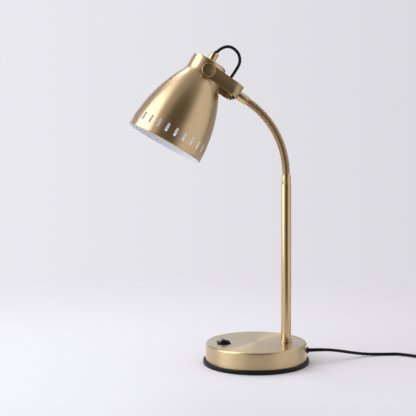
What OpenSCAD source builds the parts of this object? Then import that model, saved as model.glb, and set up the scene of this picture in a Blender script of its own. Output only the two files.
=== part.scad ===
// Gooseneck desk lamp: a weighted round base, a straight pole, a flexible ringed neck,
// and a spun bell shade that tilts in a strap yoke. Millimetres, +Z up.
// The origin is the middle of the base on the table. The pole stands on +X.

/* [Base] */
// Outer diameter of the base shell
base_d = 160; // [130:1:220]
// Height of the shell's top face above the table
base_h = 32.4; // [30:0.1:50]
// Wall of the base shell
shell_t = 1.2; // [0.8:0.1:2]
// Radius of the shell's upper edge
edge_r = 3; // [2:0.1:6]
// Height of the rubber foot ring
foot_h = 6.5; // [5.5:0.1:9]
// How far the foot ring stands out past the shell
foot_out = 3.9; // [3:0.1:8]
// Height of the ledge that the shell stands on
ledge_h = 5; // [4:0.1:7]
// Thickness of the iron weight
weight_t = 11; // [8:0.5:13]
// Thickness of the bottom plate
plate_t = 1.5; // [1:0.1:3]
// Radius of the circle that the plate screws lie on
plate_screw_r = 58; // [50:1:62]

/* [Switch] */
// Distance of the switch from the middle of the base
switch_r = 52; // [40:1:58]
// Turn of the switch about the base, from the -X side
switch_turn = 10; // [-45:1:45]
// Length of the switch bezel
bezel_l = 20.6; // [20:0.1:24]
// Width of the switch bezel
bezel_w = 16; // [15:0.1:20]
// Height of the bezel over the base
bezel_t = 2; // [1.5:0.1:3]
// Depth of the switch body below the top face
switch_depth = 16; // [14:0.5:18]
// Height of the rocker's ridge over its ends
ridge_h = 3.9; // [2:0.1:6]
// Angle that the rocker leans to each side
rocker_lean = 11; // [6:0.5:12]

/* [Pole] */
// Distance of the pole from the middle of the base
pole_x = 47.5; // [38:0.5:50]
// Outer diameter of the pole
pole_d = 16; // [14.5:0.5:20]
// Wall of the pole
pole_t = 1.2; // [1:0.1:1.6]
// Height of the pole's upper end above the table
pole_top = 282; // [200:1:400]
// Outer diameter of the foot collar
collar_d = 19.3; // [17:0.1:26]
// Height of the foot collar
collar_h = 2.3; // [1.5:0.1:5]
// Height of the tapered adapter between pole and neck
adapter_h = 14.8; // [8:0.1:30]

/* [Gooseneck] */
// Turn of the neck and the head about the pole
arm_turn = 13; // [-30:0.5:30]
// Radius of the arc that the neck is bent to
bend_r = 137; // [120:1:200]
// Angle of that arc
neck_angle = 56.5; // [50:0.5:65]
// Outer diameter of the neck
neck_d = 12.6; // [12:0.1:14]
// Radius of each ring's round section
ring_r = 1.15; // [0.9:0.05:1.2]
// Number of short links that the neck bends between
links = 14; // [10:2:14]
// Number of rings on each link
link_rings = 3; // [3:1:3]
// Bore of the neck's inner spring
neck_bore = 7.2; // [6.4:0.1:7.6]

/* [Yoke] */
// Distance from the end of the neck's arc to the pivot
yoke_reach = 83.6; // [80:0.1:110]
// Distance from the back of the yoke to the pivot
yoke_l = 62; // [58:0.5:66]
// Width of the yoke's strap
strap_w = 20.8; // [18:0.1:24]
// Thickness of the yoke's strap
strap_t = 2; // [1.5:0.1:3]
// Outer radius of the yoke's two bends
strap_bend = 14; // [8:0.5:18]
// Clearance between the shade and each arm of the yoke
arm_gap = 0.7; // [0.6:0.1:2]
// Diameter of the ferrule between neck and yoke
ferrule_d = 14.8; // [14.5:0.1:18]
// Diameter of the pivot discs
disc_d = 21.4; // [16:0.1:24]
// Thickness of the pivot discs
disc_t = 3.2; // [2:0.1:5]

/* [Shade] */
// Height of the shade along its axis
shade_h = 145.2; // [140:0.1:165]
// Tilt of the shade's axis from upright
shade_tilt = 29.6; // [10:0.1:38]
// Radius of the shade at its widest
mouth_r = 61.4; // [55:0.1:70]
// Height above the mouth at which the bell is widest
bell_s = 3.9; // [2:0.1:8]
// Radius of the shade's cylindrical neck
cap_r = 28.4; // [26:0.1:30]
// Length of the shade's cylindrical neck
cap_l = 19.6; // [15:0.1:24]
// Radius of the hollow curve between neck and bell
blend_r = 20; // [12:1:24]
// Wall of the shade
shade_t = 1; // [0.8:0.1:1.5]
// Distance of the pivot below the shade's top
pivot_drop = 17.7; // [14:0.1:20]
// Radius of the rolled edge at the mouth
bead_r = 0.9; // [0.6:0.1:1.5]
// Number of vent slots
slots = 26; // [12:1:30]
// Width of each slot
slot_w = 4.2; // [2:0.1:6]
// Length of each slot with its round ends
slot_l = 13.4; // [8:0.1:20]
// Height of the slots' middle above the mouth
slot_s = 19; // [14:0.5:30]

/* [Lampholder] */
// Outer diameter of the lampholder
holder_d = 40; // [36:0.5:44]
// Length of the lampholder
holder_l = 54; // [48:1:60]
// Bore of the threaded shell that takes the lamp
socket_d = 26.6; // [26:0.1:27]
// Diameter of the brass gland on the shade
gland_d = 13.1; // [12:0.1:16]
// Height of the brass gland on the shade
gland_h = 16.5; // [10:0.1:24]

/* [Cords] */
// Diameter of the cords
cord_d = 4.8; // [4:0.1:5]
// Height of the cord's exit above the table
exit_z = 19; // [17:0.5:21]
// Diameter of the exit gland's flange
flange_d = 9.6; // [8.5:0.1:12]
// Diameter of the coil at the middle of its turns
coil_d = 57.6; // [50:0.1:60]
// Turns of cord side by side in the coil
coil_beside = 5; // [3:1:5]
// Layers of cord one above another in the coil
coil_above = 2; // [2:2:4]

/* [Hidden] */
$fn = 64;
round_fn = 32;

// Clearances. A running fit is what moves, a loose fit is what is only put in.
run_fit = 0.05;
face_gap = 0.02;
loose_fit = 0.2;
rubber_gap = 0.4;

// Base
base_r = base_d / 2;
shell_in_r = base_r - shell_t;
top_in_z = base_h - shell_t;
plate_top = ledge_h + plate_t;
plate_r = shell_in_r - loose_fit;
ledge_w = 8;
foot_edge = (foot_out - rubber_gap) * 0.45;
weight_r = shell_in_r - edge_r;
weight_z = top_in_z - weight_t;
boss_r = 5;
screw_r = 2;
screw_head_r = 3.8;
screw_head_h = 2.2;
screw_grip = 8;
plate_screws = 3;
nipple_r = 5;
nipple_bore = 3.3;
nut_flats = 14;
nut_h = 5;
washer_r = 11;
washer_t = 1.2;
thread_gap = 0.05;

// Switch, from the pivot of the rocker
rocker_pivot = 3;
body_l = bezel_l - 1.4;
body_w = bezel_w - 1.2;
body_wall = 1;
cavity_l = body_l - 2 * body_wall;
cavity_w = body_w - 2 * body_wall;
rocker_w = cavity_w - 2 * loose_fit;
rocker_half = cavity_l / 2 - 1.1;
trunnion_r = 1.5;
trunnion_l = body_w - 1.2;
blade = [0.8, 4.8, 7];
blade_step = 6.5;
switch_base = base_h - switch_depth;

// Pole
pole_r = pole_d / 2;
pole_in_r = pole_r - pole_t;
insert_h = 15;
insert_grip = 12;
spigot_h = 10;
nipple_z = weight_z - washer_t - nut_h - 1.5;

// Neck
neck_r = neck_d / 2;
ring_mid = neck_r - ring_r;
liner_r = ring_mid - 0.25;
liner_end = ring_r - 0.1;
tube_lap = 0.15;
tube_step = 0.12;
neck_z = pole_top + adapter_h;
ring_count = links * link_rings + 1;
ring_step = neck_angle / ring_count;
ring_pitch = bend_r * ring_step * PI / 180;
adapter_top_r = neck_r + 0.8;
adapter_foot_r = pole_r - 0.35;

// Yoke and ferrule, in the frame at the end of the neck's arc
plate_out = yoke_reach - yoke_l;
plate_in = plate_out + strap_t;
ferrule_r = ferrule_d / 2;
ferrule_z = ring_pitch;
flare_s = max(0, pivot_drop + strap_w / 2 - cap_l);
flare = blend_r - sqrt(pow(blend_r, 2) - pow(flare_s, 2));
arm_in = cap_r + flare + arm_gap;
arm_out = arm_in + strap_t;
grommet_t = 4;
grommet_r = 10;
yoke_nut_flats = 14;
yoke_nut_h = 3;
bushing_h = 2.5;
bushing_r = 6;
yoke_nipple_in = 9;
bushing_z = plate_in + grommet_t + yoke_nut_h;

// Pivot
pivot_screw_r = 2.5;
saddle_r = 7;
washer_thin = 1;
pivot_nut_flats = 8;
pivot_nut_t = 4;
saddle_out = arm_in - washer_thin;
pivot_nut_out = sqrt(pow(cap_r - shade_t, 2) - pow(pivot_nut_flats / sqrt(3), 2));
pivot_u = bend_r * (1 - cos(neck_angle)) + yoke_reach * sin(neck_angle);
pivot_h = neck_z + bend_r * sin(neck_angle) + yoke_reach * cos(neck_angle);

// Shade. The bell's side is an arc about (bell_c, bell_s) in the radius and height plane. It meets
// the hollow curve above it, which ends at the neck.
pivot_s = shade_h - pivot_drop;
blend_s = shade_h - cap_l;
bell_r = (pow(blend_s - bell_s, 2) + pow(cap_r + blend_r - mouth_r, 2) - pow(blend_r, 2))
    / (2 * (mouth_r - cap_r));
bell_c = mouth_r - bell_r;
cap_edge = 3;
cap_in = shade_h - shade_t;

// Lampholder, hung from the inside of the shade's cap
holder_r = holder_d / 2;
holder_wall = 2;
holder_end = cap_in - holder_l;
holder_cap_h = 20;
holder_split = cap_in - holder_cap_h;
socket_r = socket_d / 2;
socket_t = 0.8;
socket_end = holder_end + 4;
socket_top = holder_split - 3;
insulator_t = 5;
contact_r = 4;
contact_h = 2.5;
holder_nipple_in = 8;
gland_nipple = 8;

// Cords
cord_r = cord_d / 2;
cord_sides = 8;
bore_r = cord_r + 0.15;
flange_r = flange_d / 2;
flange_t = 3;
gland_neck_r = bore_r + 1.2;
gland_nut_t = 4;
gland_nut_flats = 12;
exit_x = base_r + flange_t;
coil_r = coil_d / 2;
coil_half = coil_beside * cord_d / 2;
coil_h = coil_above * cord_d;
coil_out = coil_r + coil_half;
turn_out = coil_out - cord_r;
coil_gap = 0.3;
wire_r = 1;

// Plug
plug_w = 35.3;
plug_h = 13.7;
plug_l = 33;
plug_tail = 12;
pin_r = 2;
pin_l = 19;
pin_gap = 18.6;

// Route of the power cord over the table: the distance from the base's side, the distance from
// the middle line, and the height as a share of the exit's. It starts inside the base.
cord_z = cord_r + 0.1;
cord_places = [
    [-15, 0, 1], [6, 0, 1], [22, 2, 1], [40, 9, 0.88], [58, 18, 0.64], [78, 29, 0.33],
    [100, 38, 0.09], [124, 43, 0], [150, 44, 0], [164, 38.5, 0], [176, 30.4, 0], [187.3, 23.04, 0]
];
cord_route = [for (p = cord_places) [base_r + p[0], p[1], cord_z + p[2] * (exit_z - cord_z)]];

// The cord meets the coil's outer turn as a tangent, and the plug leaves that turn as one
cord_end = cord_route[len(cord_route) - 1];
cord_back = cord_end - cord_route[len(cord_route) - 2];
cord_way = cord_back / norm(cord_back);
coil_along = sqrt(pow(coil_out + coil_gap, 2) - pow(turn_out - cord_r, 2));
coil_mid = cord_end + cord_way * coil_along + [-cord_way[1], cord_way[0], 0] * turn_out;
coil_at = [coil_mid[0], coil_mid[1], 0];
plug_y = sqrt(pow(coil_out, 2) - pow(turn_out - cord_r, 2)) + coil_gap;
plug_at = coil_at + [turn_out, plug_y, 0];

// The clamp's place inside the base, and the routes of the wires there
clamp_at = base_r - 12;
clamp_l = 6;
clamp_wall = 4;
notch_in = 12;
notch_gap = 2;
lead_z = plate_top + 3;
lead_start = cord_route[0] - [0.25, 0, 0];
lead_side = [0, 1.25, 0];
switch_at = [-switch_r * cos(switch_turn), -switch_r * sin(switch_turn), switch_base];
nipple_at = [pole_x, 0, nipple_z];
lead_routes = [
    [lead_start + lead_side, lead_start + lead_side - [2.7, 0, 0], lead_start + [-7, 4, -1.5],
     lead_start + [-10.8, 9, -6], [40, 16, lead_z], [0, 14, lead_z], [-34, -2, lead_z],
     switch_at + [10.2, 2.2, -6], switch_at + [7.3, 1.3, -5.4]],
    [switch_at + [0.5, -3.1, -5.4], switch_at + [1.7, -7, -6], [-44, -18, lead_z],
     [0, -14, lead_z], [34, -11, lead_z], [44, -4, lead_z], nipple_at + [-1.7, -0.9, -2.6],
     nipple_at + [-1.3, 0, -0.8]],
    [lead_start - lead_side, lead_start - lead_side - [2.7, 0, 0], lead_start + [-6, -4, -2.5],
     lead_start + [-7.8, -6, -7], [52, -3, lead_z], nipple_at + [1.9, -0.9, -2.6],
     nipple_at + [1.3, 0, -0.8]]
];

// Route of the loop cord, as distance and height from the pivot in the neck's plane. It comes out
// of the brass gland, bends over and goes down between the yoke's arms.
loop_route = [
    [-20.3, 31.9], [-24.3, 35.4], [-30.7, 38.7], [-37, 40], [-43.6, 38.6], [-49.6, 34.4],
    [-54.1, 28.3], [-55.9, 21.1], [-55.3, 14.6], [-53, 9.3], [-48.2, 1.4], [-42.3, -7.4],
    [-37.4, -14.7], [-36.2, -20.7], [-38.8, -25.6]
];

function unit(v) = v / norm(v);
function flat(i) = [cos(360 * i / cord_sides), sin(360 * i / cord_sides)];

// Point t of the way along the stretch i of the smooth curve through the points p
function along(p, i, t) =
    let (a = p[max(i - 1, 0)], b = p[i], c = p[i + 1], d = p[min(i + 2, len(p) - 1)])
    b + (c - a) * t / 2 + (2 * a - 5 * b + 4 * c - d) * t * t / 2
    + (3 * b - a - 3 * c + d) * t * t * t / 2;
function smooth(p, steps) =
    [for (i = [0:len(p) - 2]) for (k = [0:steps - 1]) along(p, i, k / steps), p[len(p) - 1]];
function heading(p, i) = unit(p[min(i + 1, len(p) - 1)] - p[max(i - 1, 0)]);

// Corners of the section of a cord of radius r at the point i of the path p
function section(p, i, r, side) =
    let (t = heading(p, i), a = unit(cross(side, t)), b = cross(t, a))
    [for (k = [0:cord_sides - 1]) p[i] + r * (a * flat(k)[0] + b * flat(k)[1])];

// A cord along the path p. side is a direction that the path never runs along.
module cord(p, r, side) {
    n = cord_sides;
    last = len(p) - 1;
    polyhedron(
        points = [for (i = [0:last]) each section(p, i, r, side)],
        faces = [
            [for (k = [0:n - 1]) k],
            for (i = [0:last - 1]) for (k = [0:n - 1])
                [i * n + k, (i + 1) * n + k, (i + 1) * n + (k + 1) % n, i * n + (k + 1) % n],
            [for (k = [n - 1:-1:0]) last * n + k]
        ],
        convexity = 6
    );
}

// Places

// The plane that holds the neck and the head: +X toward the head, +Y toward the near side
module arm_plane() {
    translate([pole_x, 0, 0]) rotate([0, 0, 180 + arm_turn]) children();
}

// The neck's cross-section at an angle along its arc, with +Z along the neck
module on_neck(angle) {
    translate([bend_r, 0, neck_z]) rotate([0, angle, 0]) translate([-bend_r, 0, 0]) children();
}

module yoke_frame() {
    arm_plane() on_neck(neck_angle) children();
}

// The shade's own frame: +Z along its axis, from the middle of its mouth
module head_frame() {
    arm_plane() translate([pivot_u, 0, pivot_h]) rotate([0, -shade_tilt, 0])
        translate([0, 0, -pivot_s]) children();
}

module both_sides() {
    for (side = [0, 180]) rotate([0, 0, side]) children();
}

// A solid that is turned about the pivot's axis, from y0 outward on each side
module on_pivot(y0) {
    both_sides() translate([0, y0, 0]) rotate([-90, 0, 0]) children();
}

module switch_place() {
    rotate([0, 0, 180 + switch_turn]) translate([switch_r, 0, base_h]) children();
}

// Shapes

// A rectangle from (x0, y0) to (x1, y1) with all four corners round
module round_rect(x0, y0, x1, y1, r) {
    translate([x0 + r, y0]) square([x1 - x0 - 2 * r, y1 - y0]);
    translate([x0, y0 + r]) square([x1 - x0, y1 - y0 - 2 * r]);
    for (x = [x0 + r, x1 - r]) for (y = [y0 + r, y1 - r]) translate([x, y]) circle(r);
}

module pipe(outer, inner, h) {
    difference() {
        cylinder(r = outer, h = h);
        translate([0, 0, -1]) cylinder(r = inner, h = h + 2);
    }
}

module hex_nut(flats, bore, h) {
    difference() {
        cylinder(r = flats / sqrt(3), h = h, $fn = 6);
        translate([0, 0, -1]) cylinder(r = bore, h = h + 2);
    }
}

module box_at(size, z0) {
    translate([-size[0] / 2, -size[1] / 2, z0]) cube(size);
}

// Half-section of the inside or outside of the base shell
module base_section(r, top, edge) {
    translate([0, ledge_h]) square([r, top - ledge_h - edge]);
    square_top = top - 2 * edge;
    translate([0, square_top]) square([r - edge, 2 * edge]);
    translate([r - edge, top - edge]) circle(edge);
}

// Half-section of the shade's outside, taken in by a wall
module shade_section(wall) {
    top = shade_h - wall;
    edge = cap_edge - wall;
    r = cap_r - wall;
    blend = blend_r + wall;
    share = (bell_r - wall) / (bell_r + blend_r);
    join_s = bell_s + share * (blend_s - bell_s);
    join_r = bell_c + share * (cap_r + blend_r - bell_c);
    intersection() {
        translate([bell_c, bell_s]) circle(bell_r - wall, $fn = 360);
        square([mouth_r * 2, join_s]);
    }
    difference() {
        translate([0, join_s]) square([join_r, blend_s - join_s]);
        translate([cap_r + blend_r, blend_s]) circle(blend, $fn = 128);
    }
    translate([0, join_s - 2]) square([r, top - edge - join_s + 2]);
    translate([0, top - 2 * edge]) square([r - edge, 2 * edge]);
    translate([r - edge, top - edge]) circle(edge);
}

// A slot as a prism along +X that cuts through the shade's wall
module slot_cut() {
    half = (slot_l - slot_w) / 2;
    translate([mouth_r - 12, 0, slot_s]) rotate([90, 0, 90]) linear_extrude(18) {
        square([slot_w, 2 * half], center = true);
        for (end = [-half, half]) translate([0, end]) circle(d = slot_w, $fn = round_fn);
    }
}

// Base

module foot_ring() {
    color([0.1, 0.1, 0.1]) rotate_extrude($fn = 128) {
        translate([base_r - ledge_w, 0]) square([ledge_w + rubber_gap + foot_edge, ledge_h]);
        round_rect(base_r + rubber_gap, 0, base_r + foot_out, foot_h, foot_edge);
    }
}

module base_shell() {
    color([0.72, 0.6, 0.4]) difference() {
        rotate_extrude($fn = 128) difference() {
            base_section(base_r, base_h, edge_r);
            translate([0, -1]) square([shell_in_r, ledge_h + 2]);
            base_section(shell_in_r, top_in_z, edge_r - shell_t);
        }
        translate([pole_x, 0, 0]) cylinder(r = nipple_r + loose_fit, h = base_h + 1);
        switch_place() box_at([body_l + loose_fit, body_w + loose_fit, 2 * shell_t + 2], -2 * shell_t);
        translate([0, 0, exit_z]) rotate([0, 90, 0])
            cylinder(r = gland_neck_r + thread_gap, h = base_r + 1);
    }
}

module screw_places() {
    for (i = [0:plate_screws - 1]) rotate([0, 0, 90 + 360 * i / plate_screws])
        translate([plate_screw_r, 0, 0]) children();
}

module base_weight() {
    notch = 2 * (gland_nut_flats / sqrt(3) + notch_gap);
    color([0.3, 0.3, 0.31]) difference() {
        union() {
            translate([0, 0, weight_z]) cylinder(r = weight_r, h = weight_t, $fn = 128);
            screw_places() translate([0, 0, plate_top]) cylinder(r = boss_r, h = weight_z - plate_top + 1);
        }
        translate([pole_x, 0, 0]) cylinder(r = nipple_r + loose_fit, h = base_h);
        switch_place() box_at([body_l + 3, body_w + 3, base_h], -base_h);
        translate([weight_r - notch_in, -notch / 2, 0]) cube([2 * notch_in, notch, base_h]);
        screw_places() translate([0, 0, plate_top - 1])
            cylinder(r = screw_r + thread_gap, h = screw_grip + 2);
    }
}

module bottom_plate() {
    color([0.55, 0.55, 0.57]) difference() {
        translate([0, 0, ledge_h]) cylinder(r = plate_r, h = plate_t, $fn = 128);
        screw_places() translate([0, 0, ledge_h - 1])
            cylinder(r = screw_r + loose_fit, h = plate_t + 2);
    }
}

module plate_screws() {
    color([0.7, 0.7, 0.72]) screw_places() {
        translate([0, 0, ledge_h]) cylinder(r = screw_r, h = plate_t + screw_grip);
        translate([0, 0, ledge_h - screw_head_h]) cylinder(r = screw_head_r, h = screw_head_h);
    }
}

// Switch

module switch_housing() {
    color([0.06, 0.06, 0.06]) switch_place() difference() {
        union() {
            linear_extrude(bezel_t) round_rect(-bezel_l / 2, -bezel_w / 2, bezel_l / 2, bezel_w / 2, 1);
            box_at([body_l, body_w, switch_depth + 0.5], -switch_depth);
        }
        box_at([cavity_l, cavity_w, switch_depth + bezel_t], 2 - switch_depth);
        translate([0, 0, bezel_t - rocker_pivot]) rotate([90, 0, 0])
            cylinder(r = trunnion_r + run_fit, h = trunnion_l + 0.4, center = true);
    }
}

// The rocker's side view: a low ridge over a tapering block, about its pivot
module rocker_section() {
    shoulder = rocker_pivot + 0.2;
    polygon([
        [-rocker_half, shoulder], [-0.6, shoulder + ridge_h - 0.1], [0.6, shoulder + ridge_h - 0.1],
        [rocker_half, shoulder], [rocker_half - 1.8, -1], [3, -4], [-3, -4], [1.8 - rocker_half, -1]
    ]);
}

module switch_rocker() {
    color([0.05, 0.05, 0.05]) switch_place() translate([0, 0, bezel_t - rocker_pivot])
        rotate([0, rocker_lean, 0]) rotate([90, 0, 0]) {
            linear_extrude(rocker_w, center = true) rocker_section();
            cylinder(r = trunnion_r, h = trunnion_l, center = true);
        }
}

module switch_terminals() {
    color([0.8, 0.65, 0.3]) switch_place() for (x = [-blade_step, 0, blade_step])
        translate([x, 0, 0]) box_at(blade, -switch_depth - blade[2]);
}

// Three insulated wires: cord to switch, switch to pole, and cord to pole
module base_leads() {
    color([0.15, 0.2, 0.5]) for (route = lead_routes) cord(smooth(route, 2), wire_r, [0, 0, 1]);
}

// The saddle that holds the power cord down on the bottom plate, inside the base
module cord_clamp() {
    color([0.6, 0.6, 0.62]) translate([clamp_at, 0, plate_top]) difference() {
        box_at([clamp_l, 2 * (cord_r + clamp_wall), exit_z + cord_r + 1.5 - plate_top], 0);
        translate([0, 0, exit_z - plate_top]) rotate([0, 90, 0])
            cylinder(r = bore_r, h = clamp_l + 2, center = true);
    }
}

// Pole

module pole_nipple() {
    color([0.75, 0.6, 0.3]) translate([pole_x, 0, nipple_z])
        pipe(nipple_r, nipple_bore, base_h + insert_grip - nipple_z);
}

module pole_washer() {
    color([0.7, 0.7, 0.72]) translate([pole_x, 0, weight_z - washer_t])
        pipe(washer_r, nipple_r + loose_fit, washer_t);
}

module pole_nut() {
    color([0.75, 0.6, 0.3]) translate([pole_x, 0, weight_z - washer_t - nut_h])
        hex_nut(nut_flats, nipple_r + thread_gap, nut_h);
}

module pole_collar() {
    color([0.78, 0.64, 0.42]) translate([pole_x, 0, base_h]) rotate_extrude()
        round_rect(pole_r + run_fit, 0, collar_d / 2, collar_h, 0.6);
}

module pole_insert() {
    color([0.75, 0.6, 0.3]) translate([pole_x, 0, base_h])
        pipe(pole_in_r - thread_gap, nipple_r + thread_gap, insert_h);
}

module pole() {
    color([0.78, 0.64, 0.42]) translate([pole_x, 0, base_h])
        pipe(pole_r, pole_in_r, pole_top - base_h);
}

module pole_lead() {
    foot = nipple_z - 0.5;
    color([0.08, 0.08, 0.08]) translate([pole_x, 0, foot])
        cylinder(r = cord_r, h = neck_z - foot - loose_fit);
}

// Gooseneck

// One ring on its stretch of the inner tube, which reaches from -low to high
module neck_ring(low, high, wall_out, wall_in) {
    rotate_extrude() {
        translate([ring_mid, 0]) circle(ring_r, $fn = round_fn);
        translate([wall_in, -low]) square([wall_out - wall_in, low + high]);
    }
}

// A link is three rings along the arc. The middle ring's tube takes in the ends of the others'.
module neck_link(i) {
    middle = (i - 1) * link_rings + 2;
    lap = ring_pitch / 2 + tube_lap;
    color([0.76, 0.62, 0.4]) arm_plane() {
        on_neck((middle - 0.5) * ring_step)
            neck_ring(liner_end, lap, liner_r - tube_step, neck_bore / 2 + tube_step);
        on_neck((middle + 0.5) * ring_step)
            neck_ring(ring_pitch / 2 + tube_lap, lap, liner_r, neck_bore / 2);
        on_neck((middle + 1.5) * ring_step)
            neck_ring(lap, liner_end, liner_r - tube_step, neck_bore / 2 + tube_step);
    }
}

module neck_adapter() {
    color([0.78, 0.64, 0.42]) arm_plane() {
        translate([0, 0, pole_top]) rotate_extrude() difference() {
            polygon([
                [0, -spigot_h], [pole_in_r - thread_gap, -spigot_h], [pole_in_r - thread_gap, 0],
                [adapter_foot_r, 0], [adapter_top_r, adapter_h], [0, adapter_h]
            ]);
            translate([0, -spigot_h - 1]) square([neck_bore / 2, spigot_h + adapter_h + 2]);
        }
        on_neck(ring_step / 2)
            neck_ring(ring_pitch / 2 + 1, liner_end, liner_r, neck_bore / 2 + tube_step);
    }
}

module neck_ferrule() {
    chamfer = 0.6;
    color([0.78, 0.64, 0.42]) yoke_frame() {
        rotate_extrude() difference() {
            polygon([
                [0, ferrule_z], [ferrule_r - chamfer, ferrule_z], [ferrule_r, ferrule_z + chamfer],
                [ferrule_r, plate_out], [0, plate_out]
            ]);
            translate([0, ferrule_z - 1]) square([neck_bore / 2, plate_out]);
            translate([0, plate_out - yoke_nipple_in])
                square([nipple_r + thread_gap, yoke_nipple_in + 1]);
        }
        translate([0, 0, ring_pitch / 2])
            neck_ring(liner_end, ring_pitch / 2 + 1, liner_r, neck_bore / 2 + tube_step);
    }
}

module neck_lead() {
    steps = 14;
    path = [
        for (i = [0:steps]) let (a = neck_angle * i / steps)
            [bend_r * (1 - cos(a)), 0, neck_z + bend_r * sin(a)],
        [pivot_u - (yoke_reach - plate_out) * sin(neck_angle), 0,
         pivot_h - (yoke_reach - plate_out) * cos(neck_angle)]
    ];
    color([0.08, 0.08, 0.08]) arm_plane() cord(path, cord_r, [0, 1, 0]);
}

// Yoke

// The strap's edge view, inside or outside, as a wide U that opens toward the pivot
module yoke_section(half, back, bend) {
    translate([bend - half, back]) square([2 * (half - bend), yoke_reach - back]);
    translate([-half, back + bend]) square([2 * half, yoke_reach - back - bend]);
    for (side = [-1, 1]) translate([side * (half - bend), back + bend]) circle(bend);
}

module yoke() {
    color([0.5, 0.41, 0.26]) yoke_frame() difference() {
        union() {
            rotate([90, 0, 90]) linear_extrude(strap_w, center = true) difference() {
                yoke_section(arm_out, plate_out, strap_bend);
                yoke_section(arm_in, plate_in, strap_bend - strap_t);
                translate([-arm_in, yoke_reach - 1]) square([2 * arm_in, 2]);
            }
            translate([0, 0, yoke_reach]) on_pivot(arm_in) cylinder(d = strap_w, h = strap_t);
        }
        translate([0, 0, yoke_reach]) on_pivot(arm_in - 1)
            cylinder(r = pivot_screw_r + run_fit, h = strap_t + 2);
        translate([0, 0, plate_out - 1]) cylinder(r = nipple_r + thread_gap, h = strap_t + 2);
    }
}

module yoke_nipple() {
    color([0.75, 0.6, 0.3]) yoke_frame() translate([0, 0, plate_out - yoke_nipple_in + 0.5])
        pipe(nipple_r, nipple_bore, bushing_z - plate_out + yoke_nipple_in - 0.5);
}

module yoke_grommet() {
    color([0.06, 0.06, 0.06]) yoke_frame() translate([0, 0, plate_in]) rotate_extrude()
        round_rect(nipple_r + thread_gap, 0, grommet_r, grommet_t, 1);
}

module yoke_nut() {
    color([0.75, 0.6, 0.3]) yoke_frame() translate([0, 0, plate_in + grommet_t])
        hex_nut(yoke_nut_flats, nipple_r + thread_gap, yoke_nut_h);
}

module cord_bushing() {
    color([0.06, 0.06, 0.06]) yoke_frame() translate([0, 0, bushing_z]) rotate_extrude()
        round_rect(bore_r, 0, bushing_r, bushing_h, 0.8);
}

// Pivot

module pivot_at_head() {
    head_frame() translate([0, 0, pivot_s]) children();
}

module pivot_saddles() {
    color([0.78, 0.64, 0.42]) pivot_at_head() difference() {
        on_pivot(cap_r - 2) pipe(saddle_r, pivot_screw_r + loose_fit, saddle_out - cap_r + 2);
        translate([0, 0, -pivot_s]) rotate_extrude($fn = 180) shade_section(-thread_gap);
    }
}

module pivot_washers() {
    color([0.85, 0.85, 0.82]) yoke_frame() translate([0, 0, yoke_reach])
        on_pivot(saddle_out + face_gap)
            pipe(saddle_r + 1, pivot_screw_r + run_fit, washer_thin - face_gap);
}

module pivot_screws() {
    bevel = 1;
    color([0.5, 0.41, 0.26]) pivot_at_head() {
        on_pivot(arm_out + face_gap) rotate_extrude() polygon([
            [0, 0], [disc_d / 2, 0], [disc_d / 2, disc_t - bevel], [disc_d / 2 - bevel, disc_t],
            [0, disc_t]
        ]);
        on_pivot(pivot_nut_out - pivot_nut_t)
            cylinder(r = pivot_screw_r, h = arm_out - pivot_nut_out + pivot_nut_t + 0.5);
    }
}

module pivot_nuts() {
    color([0.75, 0.6, 0.3]) pivot_at_head() on_pivot(pivot_nut_out - pivot_nut_t)
        hex_nut(pivot_nut_flats, pivot_screw_r + thread_gap, pivot_nut_t);
}

// Shade

module shade() {
    color([0.74, 0.61, 0.4]) head_frame() difference() {
        rotate_extrude($fn = 180) {
            difference() {
                shade_section(0);
                translate([0, -1]) square([mouth_r - shade_t - 0.03, 2]);
                shade_section(shade_t);
            }
            translate([mouth_r - 0.1, bead_r]) circle(bead_r);
        }
        for (i = [0:slots - 1]) rotate([0, 0, 90 + 360 * i / slots]) slot_cut();
        translate([0, 0, pivot_s]) on_pivot(cap_r - 4)
            cylinder(r = pivot_screw_r + loose_fit, h = 8);
        translate([0, 0, cap_in - 1]) cylinder(r = nipple_r + thread_gap, h = shade_t + 2);
    }
}

module cap_gland() {
    chamfer = 0.5;
    r = gland_d / 2;
    color([0.78, 0.64, 0.42]) head_frame() translate([0, 0, shade_h]) rotate_extrude() difference() {
        polygon([
            [0, 0], [r, 0], [r - 0.2, gland_h - chamfer], [r - 0.2 - chamfer, gland_h], [0, gland_h]
        ]);
        translate([0, -1]) square([bore_r, gland_h + 2]);
        translate([0, -1]) square([nipple_r + thread_gap, gland_nipple + 1]);
    }
}

module holder_nipple() {
    color([0.75, 0.6, 0.3]) head_frame() translate([0, 0, cap_in - holder_nipple_in])
        pipe(nipple_r, nipple_bore, holder_nipple_in + shade_t + gland_nipple - 0.5);
}

module holder_cap() {
    neck = 10;
    color([0.08, 0.08, 0.08]) head_frame() translate([0, 0, holder_split]) rotate_extrude() difference() {
        polygon([
            [0, 0], [holder_r, 0], [holder_r, holder_cap_h - 12], [holder_r - 4, holder_cap_h - 6],
            [neck, holder_cap_h - 4], [neck, holder_cap_h], [0, holder_cap_h]
        ]);
        translate([0, -1]) square([holder_r - holder_wall, holder_cap_h - 11]);
        translate([0, -1]) square([neck + 2, holder_cap_h - holder_nipple_in + 0.8]);
        square([nipple_r + thread_gap, holder_cap_h + 1]);
    }
}

module holder_skirt() {
    rib = 0.8;
    color([0.08, 0.08, 0.08]) head_frame() translate([0, 0, holder_end]) rotate_extrude() {
        length = holder_split - holder_end;
        translate([holder_r - holder_wall, 0]) square([holder_wall, length]);
        translate([holder_r, 1]) circle(rib);
    }
}

module holder_insulator() {
    color([0.92, 0.9, 0.85]) head_frame() translate([0, 0, socket_top]) difference() {
        cylinder(r = holder_r - holder_wall - loose_fit, h = insulator_t);
        translate([0, 0, -1]) cylinder(r = contact_r + run_fit, h = contact_h + 1);
    }
}

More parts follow.
